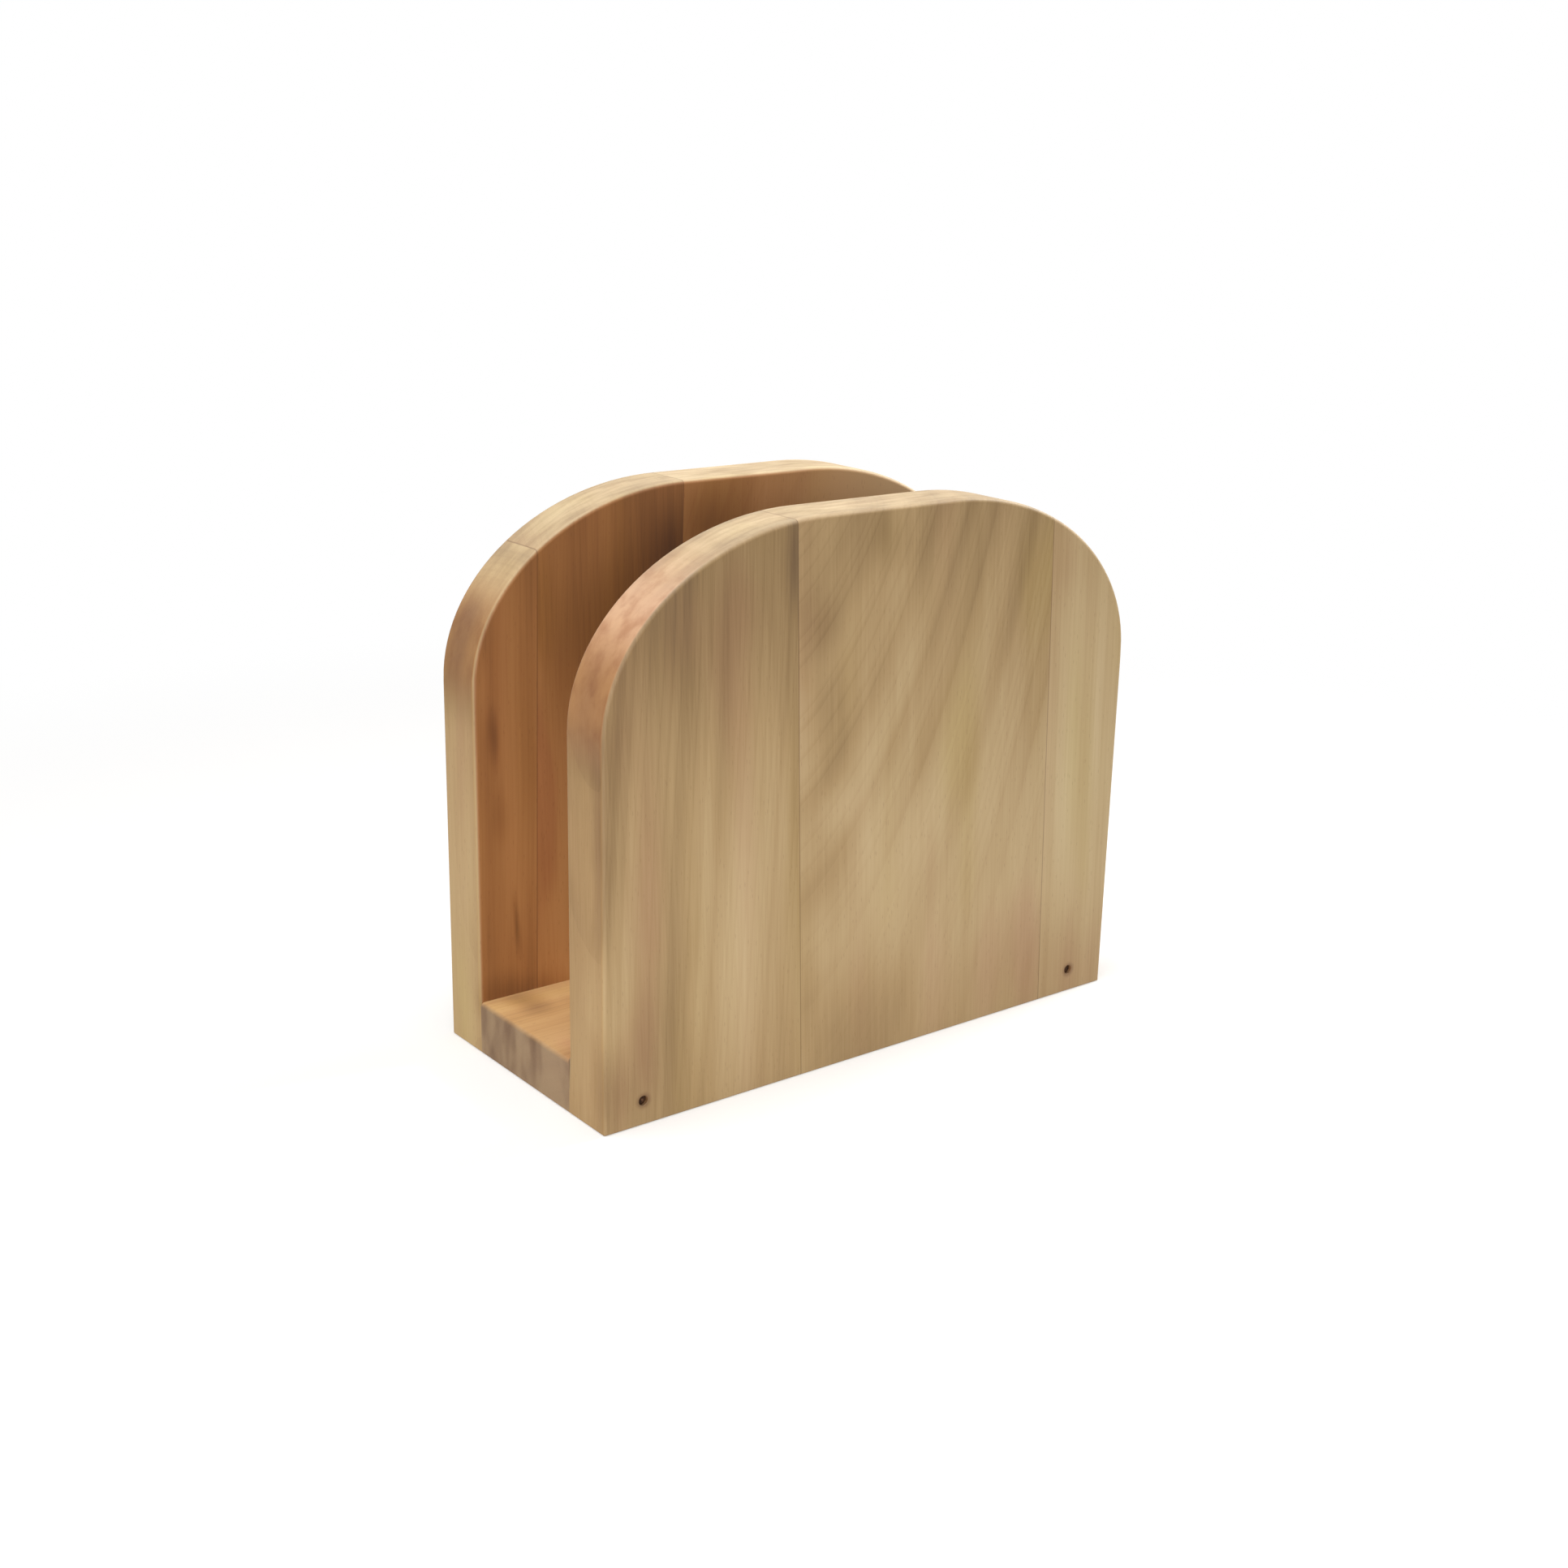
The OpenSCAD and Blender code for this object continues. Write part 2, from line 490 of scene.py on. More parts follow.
def patches_and_painted_light(tree, place, log):
    """How much darker and redder the wood is in its log's patches, some painted shade and light."""
    swirl = centred_noise(tree, place, log, "wander")
    place = add(tree, "VectorMath", (swirl, PATCH_WANDER_MM, place), **PRODUCT_AND_SUM)
    darker, redder = 0.0, 0.0
    for centre, reach, dark, red in log["patches"]:
        cells = add(tree, "Mapping", {0: place, "Location": centre, "Scale": reach,
                                      "Rotation": (0, log["turn"], 0)}, **IN_CELLS)
        off = add(tree, "VectorMath", (cells,), **LENGTH).outputs["Value"]
        share = add(tree, "MapRange", (off, 1.0, 0.0), **SMOOTH)
        darker = add(tree, "Math", (share, dark, darker), **PRODUCT_AND_SUM)
        redder = add(tree, "Math", (share, red, redder), **PRODUCT_AND_SUM)
    return darker, redder


# %% [markdown]
# ## Tone
# The tone of a point adds up from all of these, each around zero: the streaks, which fade in and
# out, slow patches, fine streaks, years and fibres. The boards are darker towards the top and a
# little at the foot, and low down some logs are calmer than others. Adding keeps every part's
# weight a plain number, so that each can be turned up or down by itself.

# %% Adding up the tone
# The heart wanders by as much as this either way, which is half of what the noise is scaled by
WANDER_MM = 2.0
# As the slow noise goes from the first of these to the second, the depth of a streak goes from
# the third to the fourth
STREAK_FADING = (0.3, 0.65, 0.5, 1.1)
PATCH_WEIGHT = 0.25
FINE_WEIGHT = 0.23
FIBRE_WEIGHT = 0.20
# Heights between which a calm log livens up, darkens towards the top, and darkens at the foot
LIVELY_MM = (8.0, 80.0)
RISE_MM = (45.0, 125.0)
FOOT_MM = (36.0, 0.0)


def wood_tone(tree, place, log, fibres, darker):
    """Zero for the palest wood of the log, one for the darkest."""
    swirl = centred_noise(tree, place, log, "heart")
    wander = add(tree, "VectorMath", {0: swirl, "Scale": 2 * WANDER_MM}, operation="SCALE")
    distance = ring_distance(tree, place, wander, log)
    patches = grain_noise(tree, place, log, "patches")
    fading = add(tree, "MapRange", (patches, *STREAK_FADING))
    bands = add(tree, "Math", (ring_streaks(tree, distance, log["streaks"]), fading), **PRODUCT)
    height = add(tree, "SeparateXYZ", (place,)).outputs["Z"]
    lively = add(tree, "MapRange", (height, *LIVELY_MM, log["calm"], 1.0), **SMOOTH)
    bands = add(tree, "Math", (bands, lively), **PRODUCT)
    years = add(tree, "Math", (years_of_growth(tree, distance), lively), **PRODUCT)
    rise = add(tree, "MapRange", (height, *RISE_MM), **SMOOTH)
    foot = add(tree, "MapRange", (height, *FOOT_MM), **SMOOTH)
    fine = grain_noise(tree, place, log, "streaks")

    tone = log["tone"]
    parts = ((bands, 0.0, log["streak_depth"]), (patches, MIDDLE, PATCH_WEIGHT),
             (fine, MIDDLE, FINE_WEIGHT), (years, 0.0, 1.0), (fibres, MIDDLE, FIBRE_WEIGHT),
             (rise, 0.0, log["rise"]), (foot, 0.0, log["foot"]), (darker, 0.0, 1.0))
    for part, middle, weight in parts:
        around = add(tree, "Math", (part, middle), **DIFFERENCE)
        tone = add(tree, "Math", (around, weight, tone), **PRODUCT_AND_SUM)
    return tone


# %% [markdown]
# ## End grain
# From here on the functions give marks. A mark is how much of it shows at a point, the name of its
# colour, and whether it is a glaze or a paint. One loop lays them all in order at the end.
#
# Where a face cuts across the fibres its colour changes. The ends of the base are darker and
# duller, as open fibres are that drank more oil, with the flat rays of this wood showing as upright
# bars. On the arches the faces that look up are painted paler: partly their end grain and partly
# painted light on the tops. How far a face is turned to the grain says how much of this shows, so
# one rule serves them all.

# %% Cut across the fibres
# Levels of the noise between which a ray comes in
RAY_RANGE = (0.36, 0.70)


def end_grain(tree, place, facing, log, end_share):
    """Marks of the open ends of the fibres and of the rays among them."""
    # On the boards the pale end colour on faces that look up is partly painted light on the tops
    cut = add(tree, "VectorMath", (facing, Vector(log["axes"][0])), **DOT).outputs["Value"]
    cut = add(tree, "Math", (cut, 2.0), **POWER)
    cut = add(tree, "Math", (cut, end_share), **PRODUCT)
    rays = grain_noise(tree, place, log, log["rays"])
    rays = add(tree, "MapRange", (rays, *RAY_RANGE), **SMOOTH)
    rays = add(tree, "Math", (rays, cut), **PRODUCT)
    return [(cut, "end", PAINT), (rays, "ray", GLAZE)]


# %% [markdown]
# ## The slot and the shoulders
# The faces that look into the slot get a redder, darker brown. It is painted shade: the slot lies
# in shade, most of all to the left, and the paint eases to the right, where more light comes in.
# Round the shoulders the curve is rosy and a little mottled, as a sander leaves it when it
# burnishes the wood. Both belong to places on the finished holder and not to the log, so they go by
# where a point lies and by how far its face is turned: by one where it looks to the front or the
# back, and by zero on a rim or an end.

# %% Marks by place
SLOT_WALL_MM = round(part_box("base_board")[1].y / MM, 2)
WALL_SKIN_MM = 0.7
WALL_TURN = (0.5, 0.95)
RIM_TURN = (0.7, 0.2)
# Between these places, going right, the painted shade of the slot eases to this share
SLOT_SHADE_EASING_MM = (-5.0, 60.0)
LIT_END_SHADE_SHARE = 0.5
# Heights where a mark comes in, is full, begins to fade and is gone
ROSY_MM = (80.0, 100.0, 108.0, 121.0)
BURNISH_MM = (74.0, 90.0, 98.0, 112.0)
# Height where warm wood comes in, going down, and where it is full
WARM_MM = (118.0, 100.0)
ROSY_SHARE = 0.3
BURNISH_SHARE = 0.4
MOTTLE_RANGE = (0.40, 0.68)
print("walls of the slot, mm from the middle:", SLOT_WALL_MM)


def painted_slot_shade(tree, spot, turned):
    """Mark of painted shade: a redder, darker brown on the faces inside the slot."""
    depth = add(tree, "Math", (spot["Y"],), **WITHOUT_SIGN)
    wall = add(tree, "MapRange", (depth, SLOT_WALL_MM + WALL_SKIN_MM, SLOT_WALL_MM), **SMOOTH)
    flat = add(tree, "MapRange", (turned, *WALL_TURN), **SMOOTH)
    shade = add(tree, "MapRange", (spot["X"], *SLOT_SHADE_EASING_MM, 1.0, LIT_END_SHADE_SHARE), **SMOOTH)
    inner = add(tree, "Math", (wall, flat), **PRODUCT)
    inner = add(tree, "Math", (inner, shade), **PRODUCT)
    return [(inner, "slot", GLAZE)]


def rim_zone(tree, height, rim, heights, share):
    """A share of the rim, between the heights of a mark."""
    start, full, fade, gone = heights
    rising = add(tree, "MapRange", (height, start, full, 0.0, share), **SMOOTH)
    falling = add(tree, "MapRange", (height, gone, fade), **SMOOTH)
    zone = add(tree, "Math", (rising, falling), **PRODUCT)
    return add(tree, "Math", (zone, rim), **PRODUCT)


def shoulders(tree, place, spot, turned, log):
    """Marks of rosy, warm, burnished and mottled wood on the rim of a board."""
    height = spot["Z"]
    rim = add(tree, "MapRange", (turned, *RIM_TURN), **SMOOTH)
    rosy = rim_zone(tree, height, rim, log.get("rosy", ROSY_MM), log.get("rosy_share", ROSY_SHARE))
    warm = add(tree, "MapRange", (height, *WARM_MM), **SMOOTH)
    warm = add(tree, "Math", (warm, rim), **PRODUCT)
    burnish = rim_zone(tree, height, rim, BURNISH_MM, log.get("burnish_share", BURNISH_SHARE))
    mottle = grain_noise(tree, place, log, "mottle")
    mottle = add(tree, "MapRange", (mottle, *MOTTLE_RANGE), **SMOOTH)
    mottle = add(tree, "Math", (mottle, rosy), **PRODUCT)
    return [(rosy, "rosy", PAINT), (warm, "warm", GLAZE), (burnish, "burnish", GLAZE),
            (mottle, "mottle", GLAZE)]


# %% [markdown]
# ## Glue lines and nail stains
# A good glue line is a thin darker thread, and iron leaves a rusty stain in the wood round each
# nail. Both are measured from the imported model: the distance to the plane of the glued face, and
# the distance to the middle of the nail, seen from the front.

# %% Thin dark marks
# How far glue darkens the wood to each side of a glue line
GLUE_MM = 0.22
GLUE_SHARE = 0.55
# The radius of a nail's hole, how far inside it the stain is full, and how far outside it reaches
HOLE_MM = 1.15
STAIN_CORE_MM = 0.3
STAIN_MM = 1.3
STAIN_SHARE = 0.6
stain_reach = (HOLE_MM + STAIN_MM, HOLE_MM - STAIN_CORE_MM)
print("widest stain of a nail, mm:", round(2 * stain_reach[0], 1))


def glue_and_stains(tree, place, log):
    """Marks of a thread of glue along each seam and of a stain round each nail."""
    marks = []
    for normal, middle in log["seams"]:
        along = add(tree, "VectorMath", (place, normal), **DOT).outputs["Value"]
        gap = add(tree, "Math", (along, middle), **DIFFERENCE)
        off = add(tree, "Math", (gap,), **WITHOUT_SIGN)
        thread = add(tree, "MapRange", (off, GLUE_MM, 0.0, 0.0, GLUE_SHARE), **SMOOTH)
        marks.append((thread, "glue", GLAZE))
    flat = add(tree, "VectorMath", (place, (1, 0, 1)), **PRODUCT)
    for nail in log["nails"]:
        off = add(tree, "VectorMath", (flat, nail), operation="DISTANCE").outputs["Value"]
        stain = add(tree, "MapRange", (off, *stain_reach, 0.0, STAIN_SHARE), **SMOOTH)
        marks.append((stain, "rust", GLAZE))
    return marks


# %% [markdown]
# ## Colour and surface
# Tone picks a colour between cream sapwood and umber, and a slower noise drifts it between pink
# and olive, as this wood does. Then come the pores, the marks of making and the painted shade of
# the slot. Sanded wood with a wipe of oil scatters light softly: the fibres stand a little proud,
# the pores lie a little low, and the sheen changes a touch from fibre to fibre.

# %% The wood as it came from the saw
HUE_GAIN = 2.5


def sawn_colour(tree, place, log, tones, fibres):
    """Colour of the wood by its tone, and the marks of its drift to pink and to olive."""
    darker, redder = patches_and_painted_light(tree, place, log)
    scale = add(tree, "ValToRGB", (wood_tone(tree, place, log, fibres, darker),))
    stops = scale.color_ramp.elements
    for _ in tones["scale"][2:]:
        stops.new(MIDDLE)
    for i, code in enumerate(tones["scale"]):
        stops[i].position = i / (len(tones["scale"]) - 1)
        stops[i].color = hex_colour(code)
    drift = grain_noise(tree, place, log, "hue")
    drift = add(tree, "Math", (drift, MIDDLE), **DIFFERENCE)
    hue = add(tree, "Math", (drift, HUE_GAIN, redder), **PRODUCT_AND_SUM)
    pink = add(tree, "MapRange", (hue, 0.0, 1.0), **SMOOTH)
    olive = add(tree, "MapRange", (hue, 0.0, -1.0), **SMOOTH)
    return scale, [(pink, "pink", GLAZE), (olive, "olive", GLAZE)]


# %% Camphor laurel, planed, sanded and wiped with oil
PORE_DEPTH = -2.0
BUMP_STRENGTH = 0.2
BUMP_HEIGHT = 0.05 * MM
SANDED_ROUGHNESS = (0.52, 0.68)
OILED_WOOD_IOR = 1.5


def camphor_laurel(name, log, tones):
    """Camphor laurel, planed, sanded to 180 grit and wiped with oil. It gives the eye soft broad
    streaks under fine straight fibres and a low even sheen, with painted shade inside the slot and
    painted light on the tops."""
    material = empty_material(name)
    tree = material.node_tree
    spot = add(tree, "TexCoord").outputs
    facing = spot["Normal"]
    place = add(tree, "VectorMath", {0: spot["Object"], "Scale": 1 / MM}, operation="SCALE")
    fibres = grain_noise(tree, place, log, "fibres")
    pores = open_pores(tree, place, log)
    colour, marks = sawn_colour(tree, place, log, tones, fibres)
    marks += [(pores, "pore", PAINT), *end_grain(tree, place, facing, log, tones["end share"])]
    if log["upright"]:
        spot = add(tree, "SeparateXYZ", (place,)).outputs
        side = add(tree, "SeparateXYZ", (facing,)).outputs["Y"]
        turned = add(tree, "Math", (side,), **WITHOUT_SIGN)
        marks += painted_slot_shade(tree, spot, turned) + shoulders(tree, place, spot, turned, log)
    marks += glue_and_stains(tree, place, log)
    for share, mark, way in marks:
        colour = add(tree, "Mix", {SHARE: share, UNDER: colour, OVER: hex_colour(tones[mark])},
                     **way).outputs[MIXED]
    relief = add(tree, "Math", (pores, PORE_DEPTH, fibres), **PRODUCT_AND_SUM)
    bump = add(tree, "Bump", {"Strength": BUMP_STRENGTH, "Distance": BUMP_HEIGHT,
                              "Height": relief})
    rough = add(tree, "MapRange", (fibres, 0.0, 1.0, *SANDED_ROUGHNESS))
    finish = add(tree, "BsdfPrincipled", {"Base Color": colour, "Roughness": rough,
                                          "IOR": OILED_WOOD_IOR, "Normal": bump})
    add(tree, "OutputMaterial", (finish,))
    return material


# %% Colours of the wood
PALE = {
    "scale": ["#ccb78d", "#bda379", "#a98c61", "#8b6f47", "#664d2f"],
    # end: on the boards, paler wood on the faces that look up, partly painted light on the tops
    "end": "#e2cfae", "end share": 0.36, "ray": "#a98e74",
    "pink": "#f5e9ed", "olive": "#f4f3de", "pore": "#7a5a38",
    # slot: painted shade, the redder brown of the shaded faces inside the slot
    "slot": "#dfb38c", "rosy": "#dcae8c", "warm": "#fff6ea", "burnish": "#cfc2a2",
    "mottle": "#c9a98d", "glue": "#8a6a4a", "rust": "#8f6238",
}
HONEY = {
    **PALE,
    "scale": ["#dabb8e", "#cba572", "#b58c5b", "#946e47", "#6f4e30"],
    "end": "#937a5d", "end share": 0.8,
}
print("colours of the wood:", len(PALE["scale"]), "from", PALE["scale"][0], "to", PALE["scale"][-1])

# %% [markdown]
# ## One log for each stave
# Glued-up boards show where their staves came from. The front's middle stave was cut close to the
# heart of a leaning trunk, so its streaks sweep down to the left in nested arcs, while the staves
# beside it were sawn well away from the heart and run nearly straight.
#
# A log says where its heart lies in mm, how the heart slopes and bows, and how dark the wood is:
# its tone all over, its rise towards the top, its foot, how deep its streaks are, and how much of
# them is left low down where it is calm. Then come its streaks and its patches, among which are
# painted shade and painted light in the slot and on the tops. The logs of the two left staves also
# say how burnished their rim is, and where it is rosy and by how much.

# %% Logs of the front's staves
LOGS = {}
LOGS["front_left_stave"] = dict(
    heart=(-190, -33, 64), slopes=(0.05, 0.0), seed=3.0, tone=0.38, rise=0.38,
    calm=0.9, foot=0.10, streak_depth=0.28, burnish_share=1.0,
    rosy=(78, 92, 113, 126), rosy_share=0.6,
    streaks=((110, 0.1), (115, 0.3), (120, 0.4), (123, 0.15), (127, 0.5), (131, 0.3),
             (134, 0.7), (136, 0.1), (140, -0.5), (142.4, 0.0), (143.6, 0.8), (145.5, 0.0),
             (151, -0.7), (157, -0.4), (161, 0.0), (164, 0.6), (168, 0.3)),
    patches=(((-62, -33, 108), (20, 8, 26), 0.10, 0.3),
             ((-27, -33, 118), (6, 8, 16), 0.13, 0.2),
             ((-45, -33, 100), (22, 8, 34), 0.02, 0.5),
             ((-74, -34, 70), (9, 8, 50), 0.18, 0.5),
             ((-80, -26, 58), (9, 20, 44), 0.56, 0.6),
             ((-54, -33, 108), (6, 8, 16), -0.12, 0.3),
             ((-38, -33, 112), (9, 8, 18), 0.02, 0.4),
             ((-30, -33, 66), (5, 8, 34), -0.10, 0.3),
             ((-73, -33, 8), (8, 12, 20), 0.22, 0.5),
             ((-56, -33, 30), (9, 12, 64), 0.16, -0.3),
             ((-66, -33, 42), (12, 12, 36), 0.02, 0.5),
             ((-40, -33, 36), (16, 12, 46), -0.08, -0.2),
             # These three lighten the top of the board: painted light
             ((-44, -25, 124), (26, 6, 10), -0.50, 0.1),
             ((-25, -26, 129), (14, 7, 8), -0.60, 0.3),
             ((-57, -26, 120), (10, 6, 8), -0.36, 0.3),
             ((-80, -24, 8), (9, 12, 28), -0.26, -0.2),
             ((-64, -33, 14), (10, 8, 26), 0.12, 1.0),
             ((-74, -26, 98), (12, 6, 13), 0.34, 0.2),
             ((-75, -28, 88), (9, 7, 12), 0.10, 0.5)))
LOGS["front_middle_stave"] = dict(
    heart=(-40, 47, 0), slopes=(0.0, -0.226), bow=0.00116, seed=11.0, tone=0.27, rise=0.32,
    calm=0.35, foot=0.19, streak_depth=0.30,
    streaks=((40, 0.0), (45, 0.5), (50, 0.0), (55, -0.4), (60, 0.0), (63, 0.9), (66.5, 0.0),
             (68, -0.2), (71, 0.9), (74, 0.2), (77.5, 0.8), (80, 0.0), (84, -0.5),
             (88, 0.0), (90, 0.6), (93, 0.1), (98, -0.3), (101, 0.0), (104, 0.4),
             (107, 0.0)),
    patches=(((-19, -33, 105), (8, 12, 12), 0.16, 0.3),
             ((-14, -33, 84), (14, 12, 26), 0.10, -0.2),
             ((-12, -33, 62), (9, 12, 8), -0.10, 0.2),
             ((-14, -33, 62), (11, 8, 44), 0.16, 0.2),
             ((15, -33, 36), (40, 8, 18), 0.06, -0.2),
             ((-14, -33, 44), (11, 8, 18), 0.12, 0.0),
             ((-20, -33, 88), (7, 8, 18), 0.10, 0.2),
             ((0, -33, 120), (10, 6, 10), 0.15, -0.3),
             # This one lightens the top of the board: painted light
             ((-9, -26, 130), (16, 6, 8), -0.34, 0.3),
             ((44, -33, 108), (12, 8, 24), -0.08, -0.6),
             ((20, -33, 70), (18, 8, 30), 0.02, -0.5),
             ((-21, -33, 36), (8, 12, 40), 0.20, -0.2),
             ((-6, -33, 12), (20, 12, 34), 0.20, 0.2),
             ((30, -33, 46), (14, 12, 40), 0.08, 0.0),
             ((42, -33, 14), (20, 12, 30), 0.04, 0.7)))
LOGS["front_right_stave"] = dict(
    heart=(140, -33, 64), slopes=(-0.03, 0.0), seed=23.0, tone=0.18, rise=0.22,
    calm=0.6, foot=0.18, streak_depth=0.18,
    streaks=((62, 0.0), (68, 0.5), (72, 0.0), (76, 0.6), (78, 0.0), (82, -0.5), (85, 0.0),
             (86.5, 0.6), (88, 0.0)),
    patches=(((54, -33, 112), (9, 12, 18), 0.06, 0.3),
             ((66, -33, 6), (18, 12, 28), 0.10, 0.9),
             ((62, -33, 66), (12, 12, 44), -0.04, -0.3)))

# %% Logs of the back's staves
# Patches at y 18 or 19 lie on the wall of the slot. The darker ones near its top, behind the front
# board, are painted shade. Those at its foot beside the base are partly darker wood and partly
# painted shade. The paler ones at x -51 and x 36 are painted light, where light comes in at the
# open ends.
LOGS["back_left_stave"] = dict(
    heart=(-160, 20, 64), slopes=(0.0, 0.0), seed=31.0, tone=0.20, rise=0.32,
    calm=1.0, foot=0.08, streak_depth=0.4, burnish_share=1.0,
    rosy=(80, 92, 99, 112), rosy_share=0.4,
    streaks=((84, 0.0), (88, 0.5), (92, 0.0), (96, 0.0), (99, 0.6), (104, 0.0)),
    patches=(((-74, 27, 98), (13, 7, 16), 0.52, 0.0),
             ((-67, 19, 12), (14, 6, 40), 0.27, 0.2),
             ((-70, 19, 56), (9, 5, 52), 0.20, 0.1),
             ((-68, 19, 14), (14, 5, 8), 0.26, -0.3),
             ((-70, 19, 76), (2.4, 5, 11), 0.24, 0.3),
             ((-72, 19, 88), (2.6, 5, 14), -0.16, 0.0),
             ((-69, 19, 57), (2.4, 5, 10), 0.15, 0.0),
             ((-66, 19, 31), (1.6, 5, 11), 0.30, 0.0),
             ((-62, 19, 70), (5, 5, 40), 0.10, -0.3),
             ((-80, 33, 56), (9, 20, 44), 0.12, 0.3),
             ((-80, 28, 8), (9, 12, 34), -0.34, -0.6),
             # This one lightens the top of the board: painted light
             ((-57, 26, 120), (11, 6, 10), -0.80, -0.6)))
LOGS["back_middle_stave"] = dict(
    heart=(-130, 60, 64), slopes=(-0.05, 0.0), seed=43.0, tone=0.30, rise=0.20,
    calm=1.0, foot=0.08, streak_depth=0.45,
    streaks=((76, 0.0), (82, 0.6), (88, 0.0), (95, 0.7), (100, 0.0), (108, 0.5), (114, 0.6),
             (120, 0.2)),
    patches=(((-22, 18, 112), (12, 6, 24), 0.42, -0.8),
             ((-60, 18, 104), (16, 5, 22), 0.03, -0.9),
             # This one lightens the top of the board: painted light
             ((-44, 27, 122), (26, 6, 9), -0.40, -0.3),
             ((-58, 18, 62), (3.4, 5, 44), -0.12, 1.4),
             # Painted light, where light comes in at the left end of the slot
             ((-51, 18, 36), (10, 5, 56), -0.60, 0.3),
             ((-43, 18, 97), (24, 5, 28), 0.15, -0.9),
             ((-54, 18, 14), (14, 5, 8), 0.30, -0.3),
             ((-66, 18, 14), (12, 6, 16), 0.14, 0.0)))
LOGS["back_right_stave"] = dict(
    heart=(30, 75, 64), slopes=(0.04, 0.2), seed=59.0, tone=0.14, rise=0.0,
    calm=1.0, foot=0.08, streak_depth=0.3,
    streaks=((45, 0.0), (52, 0.5), (56, 0.0), (60, 0.4), (66, 0.0), (74, 0.5), (80, 0.0)),
    # These two darken the top of the slot wall behind the front board: painted shade
    patches=(((-14, 18, 118), (20, 6, 34), 0.26, -0.5),
             ((-12, 18, 119), (12, 5, 15), 0.32, -0.9),
             # This one darkens the top, so that it doesn't run out to white under the light:
             # painted shade
             ((12, 26, 130), (52, 7, 8), 0.40, -0.3),
             # Painted light, where light comes in at the right end of the slot
             ((36, 18, 121), (26, 5, 24), -0.50, 0.2)))

# %% Log of the base board
LOGS["base_board"] = dict(
    heart=(0, -24, -22), slopes=(0.02, 0.01), seed=71.0, tone=0.40, rise=0.0,
    calm=1.0, foot=0.0, streak_depth=0.6,
    streaks=((24, 0.0), (28, 0.5), (32, 0.0), (36, 0.6), (41, 0.0), (47, 0.5), (52, 0.0)),
    patches=(((-64, 13, 13), (27, 11, 7), 0.28, -0.2),
             ((-70, -12, 13), (16, 9, 6), -0.12, 0.8)))
print("logs:", len(LOGS), "patches:", sum(len(log["patches"]) for log in LOGS.values()))

# %% [markdown]
# ## Glue lines
# The glue lines lean by a degree or two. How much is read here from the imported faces, so that the
# grain of each stave leans with its own glue line and the thread of glue lies on the real seam.

# %% Read the glue lines
def seams_of(node_name):
    """Normal of each glued face of a stave, and its place along that normal in mm."""
    shape = bmesh.new()
    shape.from_mesh(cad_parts[node_name].data)
    shape.normal_update()
    found = {}
    for face in shape.faces:
        if is_seam(face):
            normal = face.normal.copy()
            place = normal.dot(face.calc_center_median()) / MM
            found[normal.x > 0] = (normal, place)
    shape.free()
    return list(found.values())


# %% Give each board its wood
UPRIGHT = ((0, 0, 1), (1, 0, 0), (0, 1, 0))
LYING = ((1, 0, 0), (0, 1, 0), (0, 0, 1))
QUARTER_TURN = math.radians(90)
SAME_BOARD = 20 * MM


def fit_upright(name, log):
    """Stand a log up in its stave, leaning as the stave's glue lines do."""
    board_y = boards[name].data.vertices[0].co.y
    nails = [spot for spot in nail_spots if abs(spot.y - board_y) < SAME_BOARD]
    seams = seams_of(name)
    normal = seams[0][0]
    log.update(upright=True, axes=UPRIGHT, rays="upright rays", seams=seams,
               turn=-math.atan(normal.z / normal.x),
               nails=[Vector((spot.x, 0, spot.z)) / MM for spot in nails])


for name, log in LOGS.items():
    if name in STAVES:
        fit_upright(name, log)
    else:
        log.update(upright=False, axes=LYING, rays="lying rays", seams=[], turn=QUARTER_TURN,
                   nails=[])
    wood = camphor_laurel("camphor_" + name, log, PALE if log["upright"] else HONEY)
    boards[name].data.materials.append(wood)
    print(name, "lean, degrees:", round(math.degrees(log["turn"]), 1),
          "nails:", len(log["nails"]), "nodes:", len(wood.node_tree.nodes))

# %% [markdown]
# ## Nails
# The nails are bullet-head wire nails of mild steel, punched just under the surface. Only their
# heads show, at the bottom of small dark holes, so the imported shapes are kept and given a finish.
# Steel like that turns brown in the steam of a kitchen, so it is rough and only partly bare.

# %% Nail steel
RUST_PER_METRE = 900.0
RUST_LAYERS = 3.0
RUST_RANGE = (0.45, 0.65)
RUSTED_ROUGHNESS = (0.5, 0.75)
BARE_METAL = 0.6


def dull_steel():
    """Drawn mild steel wire, browned by rust. It gives the eye a dark brown dot with a faint
    glint, darker in patches of oxide about a millimetre across."""
    material = empty_material("dull_wire_steel")
    tree = material.node_tree
    spot = add(tree, "TexCoord").outputs["Object"]
    patches = add(tree, "TexNoise", {"Vector": spot, "Scale": RUST_PER_METRE,
                                     "Detail": RUST_LAYERS})
    oxide = add(tree, "MapRange", (patches, *RUST_RANGE))
    colour = add(tree, "Mix", {SHARE: oxide, UNDER: hex_colour("#4c3019"),
                               OVER: hex_colour("#2c190b")}, **PAINT).outputs[MIXED]
    rough = add(tree, "MapRange", (oxide, 0.0, 1.0, *RUSTED_ROUGHNESS))
    steel = add(tree, "BsdfPrincipled", {"Base Color": colour, "Metallic": BARE_METAL,
                                         "Roughness": rough})
    add(tree, "OutputMaterial", (steel,))
    return material


steel = dull_steel()
for name in NAILS:
    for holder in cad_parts[name].material_slots:
        holder.material = steel
print("nails in", steel.name + ":", len(NAILS))

# %% [markdown]
# ## Floor
# A product table: a plain matt white disc that takes the shadow, a hair below the feet so that the
# two never share a plane. To the eye alone it fades into the white of the room, so no horizon
# shows from any side. Only rays that are seen take that fade. Rays that carry light to the wood
# meet plain matt paint, so the white look throws no more light on the holder.

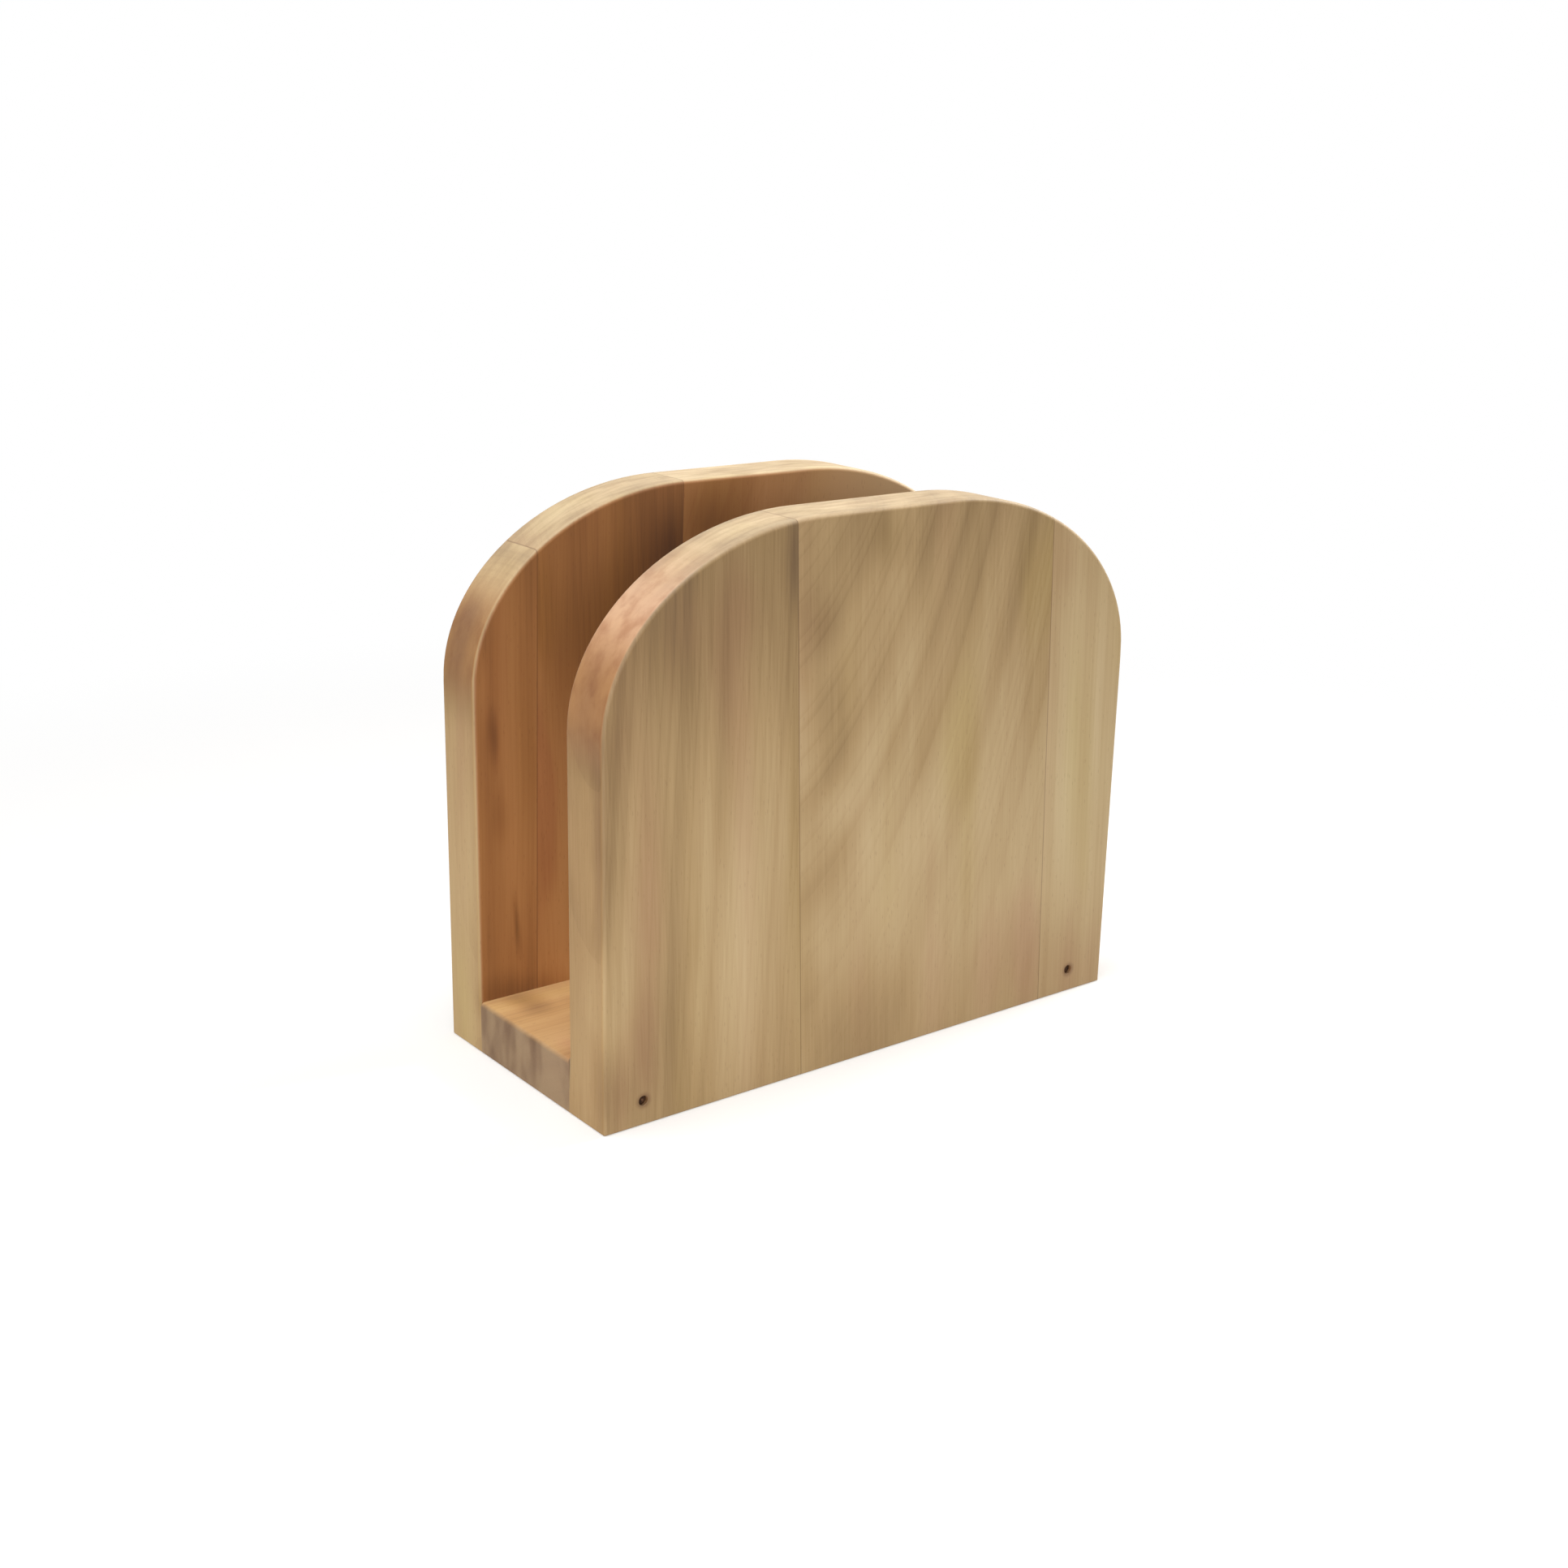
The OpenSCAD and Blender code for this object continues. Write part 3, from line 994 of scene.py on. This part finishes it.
# %% Floor disc
FLOOR_RADIUS = 2.0
FLOOR_CORNERS = 48
FLOOR_CLEARANCE = 0.05 * MM
WHITE = (1, 1, 1, 1)
FADE_M = (0.10, 0.42)
FLOOR_LIFT = 0.40


def floor_disc():
    """A flat disc, well wider than any view of it."""
    shape = bmesh.new()
    bmesh.ops.create_circle(shape, cap_ends=True, radius=FLOOR_RADIUS, segments=FLOOR_CORNERS)
    mesh = bpy.data.meshes.new("floor")
    shape.to_mesh(mesh)
    shape.free()
    disc = bpy.data.objects.new("floor", mesh)
    disc.location.z = -FLOOR_CLEARANCE
    bpy.context.scene.collection.objects.link(disc)
    return disc


def seen_rays(tree):
    """One for rays that are seen, straight, in gloss or through glass, and zero for light."""
    ray = add(tree, "LightPath").outputs
    direct = add(tree, "Math", (ray["Is Camera Ray"], ray["Is Glossy Ray"]), **SUM)
    return add(tree, "Math", (direct, ray["Is Transmission Ray"]), use_clamp=True, **SUM)


def floor_paint():
    """Matt white wall paint, rolled on. It gives the eye a plain white with a soft shadow."""
    material = empty_material("matt_white_floor")
    tree = material.node_tree
    spot = add(tree, "TexCoord").outputs["Object"]
    reach = add(tree, "VectorMath", (spot,), **LENGTH).outputs["Value"]
    far = add(tree, "MapRange", (reach, *FADE_M), **SMOOTH)
    matt = add(tree, "BsdfDiffuse", {"Color": hex_colour("#c9c7c4")})
    lift = add(tree, "Emission", {"Color": WHITE, "Strength": FLOOR_LIFT})
    white = add(tree, "Emission", {"Color": WHITE, "Strength": 1.0})
    near = add(tree, "AddShader", (matt, lift))
    seen = add(tree, "MixShader", (far, near, white))
    both = add(tree, "MixShader", (seen_rays(tree), matt, seen))
    add(tree, "OutputMaterial", (both,))
    return material


floor = floor_disc()
floor.data.materials.append(floor_paint())
print("floor, m across:", 2 * FLOOR_RADIUS)

# %% [markdown]
# ## Light
# Soft light from all round, stronger from above, with a little from the front left and from the
# right, as in a small studio. Big square lamps close to the holder give the soft shadow and the
# gentle change of light round the shoulders that one lamp alone would not. Their power is set so
# that the wood renders about as its colours are written and nothing pale runs out to white.

# %% World and lamps
ROOM_LIGHT = 0.30
world = bpy.data.worlds.new("white_room")
bpy.context.scene.world = world
world.use_nodes = True
room = world.node_tree
room.nodes.clear()
lit = add(room, "Background", {"Color": WHITE, "Strength": ROOM_LIGHT})
seen = add(room, "Background", {"Color": WHITE, "Strength": 1.0})
add(room, "OutputWorld", (add(room, "MixShader", (seen_rays(room), lit, seen)),))


def softbox(name, place, aim, size, power, spread):
    """A square soft lamp, aimed at a point, in metres, watts and degrees."""
    lamp = bpy.data.lights.new(name, "AREA")
    lamp.size = size
    lamp.energy = power
    lamp.spread = math.radians(spread)
    box = bpy.data.objects.new(name, lamp)
    bpy.context.scene.collection.objects.link(box)
    box.location = place
    box.rotation_euler = (Vector(aim) - Vector(place)).to_track_quat("-Z", "Y").to_euler()
    print(name, "watts:", power)


softbox("overhead_softbox", place=(-0.17, -0.01, 0.62), aim=(0, 0, 0.06), size=0.4, power=3.0,
        spread=180)
softbox("front_softbox", place=(-0.39, -0.46, 0.10), aim=(-0.02, 0, 0), size=0.3, power=0.51,
        spread=80)
softbox("side_softbox", place=(0.50, -0.04, 0.40), aim=(0, 0, 0.06), size=0.16, power=1.1,
        spread=120)
bpy.context.scene.view_settings.view_transform = "Standard"
